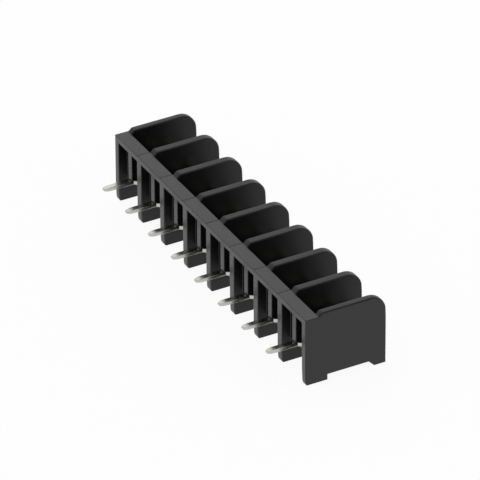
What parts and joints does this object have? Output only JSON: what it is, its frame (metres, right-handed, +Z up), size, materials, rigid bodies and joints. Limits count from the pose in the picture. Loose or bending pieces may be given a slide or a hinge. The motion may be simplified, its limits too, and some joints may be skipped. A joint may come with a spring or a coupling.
{
  "type": "barrier terminal block",
  "caption": "Single-row barrier terminal block with straight rear pins: black moulded housing, rounded barriers, rear tie beam, and a clamp screw with square washer in each cell.",
  "frame": {"origin": "middle of the whole part seen from above, pins included, on the plane of the feet", "axes": "+X along the row of cells, +Y from the pins towards the wire side, +Z up from the feet"},
  "size_m": [0.0772, 0.023, 0.0153],
  "materials": {
    "housing": "black moulded polyester, fine matt texture",
    "terminal": "bright tin plating over brass",
    "clamp_washer": "nickel-plated steel",
    "screw": "nickel-plated steel"
  },
  "bodies": {
    "block": {"housing": "housing", "terminal_1": "terminal", "terminal_2": "terminal", "terminal_3": "terminal", "terminal_4": "terminal", "terminal_5": "terminal", "terminal_6": "terminal", "terminal_7": "terminal", "terminal_8": "terminal"},
    "clamp_1": {"clamp_washer_1": "clamp_washer"},
    "screw_body_1": {"screw_1": "screw"},
    "clamp_2": {"clamp_washer_2": "clamp_washer"},
    "screw_body_2": {"screw_2": "screw"},
    "clamp_3": {"clamp_washer_3": "clamp_washer"},
    "screw_body_3": {"screw_3": "screw"},
    "clamp_4": {"clamp_washer_4": "clamp_washer"},
    "screw_body_4": {"screw_4": "screw"},
    "clamp_5": {"clamp_washer_5": "clamp_washer"},
    "screw_body_5": {"screw_5": "screw"},
    "clamp_6": {"clamp_washer_6": "clamp_washer"},
    "screw_body_6": {"screw_6": "screw"},
    "clamp_7": {"clamp_washer_7": "clamp_washer"},
    "screw_body_7": {"screw_7": "screw"},
    "clamp_8": {"clamp_washer_8": "clamp_washer"},
    "screw_body_8": {"screw_8": "screw"}
  },
  "joints": [
    {"name": "screw_1_lift", "type": "slide", "parent": "block", "child": "clamp_1", "axis": [0, 0, 1], "range_m": [0, 0.003]},
    {"name": "screw_1_turn", "type": "hinge", "parent": "clamp_1", "child": "screw_body_1", "pos_m": [-0.03325, 0.00455, 0.0076], "axis": [0, 0, 1], "range_deg": [0, 1800]},
    {"name": "screw_2_lift", "type": "slide", "parent": "block", "child": "clamp_2", "axis": [0, 0, 1], "range_m": [0, 0.003]},
    {"name": "screw_2_turn", "type": "hinge", "parent": "clamp_2", "child": "screw_body_2", "pos_m": [-0.02375, 0.00455, 0.0076], "axis": [0, 0, 1], "range_deg": [0, 1800]},
    {"name": "screw_3_lift", "type": "slide", "parent": "block", "child": "clamp_3", "axis": [0, 0, 1], "range_m": [0, 0.003]},
    {"name": "screw_3_turn", "type": "hinge", "parent": "clamp_3", "child": "screw_body_3", "pos_m": [-0.01425, 0.00455, 0.0076], "axis": [0, 0, 1], "range_deg": [0, 1800]},
    {"name": "screw_4_lift", "type": "slide", "parent": "block", "child": "clamp_4", "axis": [0, 0, 1], "range_m": [0, 0.003]},
    {"name": "screw_4_turn", "type": "hinge", "parent": "clamp_4", "child": "screw_body_4", "pos_m": [-0.00475, 0.00455, 0.0076], "axis": [0, 0, 1], "range_deg": [0, 1800]},
    {"name": "screw_5_lift", "type": "slide", "parent": "block", "child": "clamp_5", "axis": [0, 0, 1], "range_m": [0, 0.003]},
    {"name": "screw_5_turn", "type": "hinge", "parent": "clamp_5", "child": "screw_body_5", "pos_m": [0.00475, 0.00455, 0.0076], "axis": [0, 0, 1], "range_deg": [0, 1800]},
    {"name": "screw_6_lift", "type": "slide", "parent": "block", "child": "clamp_6", "axis": [0, 0, 1], "range_m": [0, 0.003]},
    {"name": "screw_6_turn", "type": "hinge", "parent": "clamp_6", "child": "screw_body_6", "pos_m": [0.01425, 0.00455, 0.0076], "axis": [0, 0, 1], "range_deg": [0, 1800]},
    {"name": "screw_7_lift", "type": "slide", "parent": "block", "child": "clamp_7", "axis": [0, 0, 1], "range_m": [0, 0.003]},
    {"name": "screw_7_turn", "type": "hinge", "parent": "clamp_7", "child": "screw_body_7", "pos_m": [0.02375, 0.00455, 0.0076], "axis": [0, 0, 1], "range_deg": [0, 1800]},
    {"name": "screw_8_lift", "type": "slide", "parent": "block", "child": "clamp_8", "axis": [0, 0, 1], "range_m": [0, 0.003]},
    {"name": "screw_8_turn", "type": "hinge", "parent": "clamp_8", "child": "screw_body_8", "pos_m": [0.03325, 0.00455, 0.0076], "axis": [0, 0, 1], "range_deg": [0, 1800]}
  ],
  "couplings": [
    {"joint": "screw_1_turn", "follows": "screw_1_lift", "rad_per_m": 10472},
    {"joint": "screw_2_turn", "follows": "screw_2_lift", "rad_per_m": 10472},
    {"joint": "screw_3_turn", "follows": "screw_3_lift", "rad_per_m": 10472},
    {"joint": "screw_4_turn", "follows": "screw_4_lift", "rad_per_m": 10472},
    {"joint": "screw_5_turn", "follows": "screw_5_lift", "rad_per_m": 10472},
    {"joint": "screw_6_turn", "follows": "screw_6_lift", "rad_per_m": 10472},
    {"joint": "screw_7_turn", "follows": "screw_7_lift", "rad_per_m": 10472},
    {"joint": "screw_8_turn", "follows": "screw_8_lift", "rad_per_m": 10472}
  ]
}
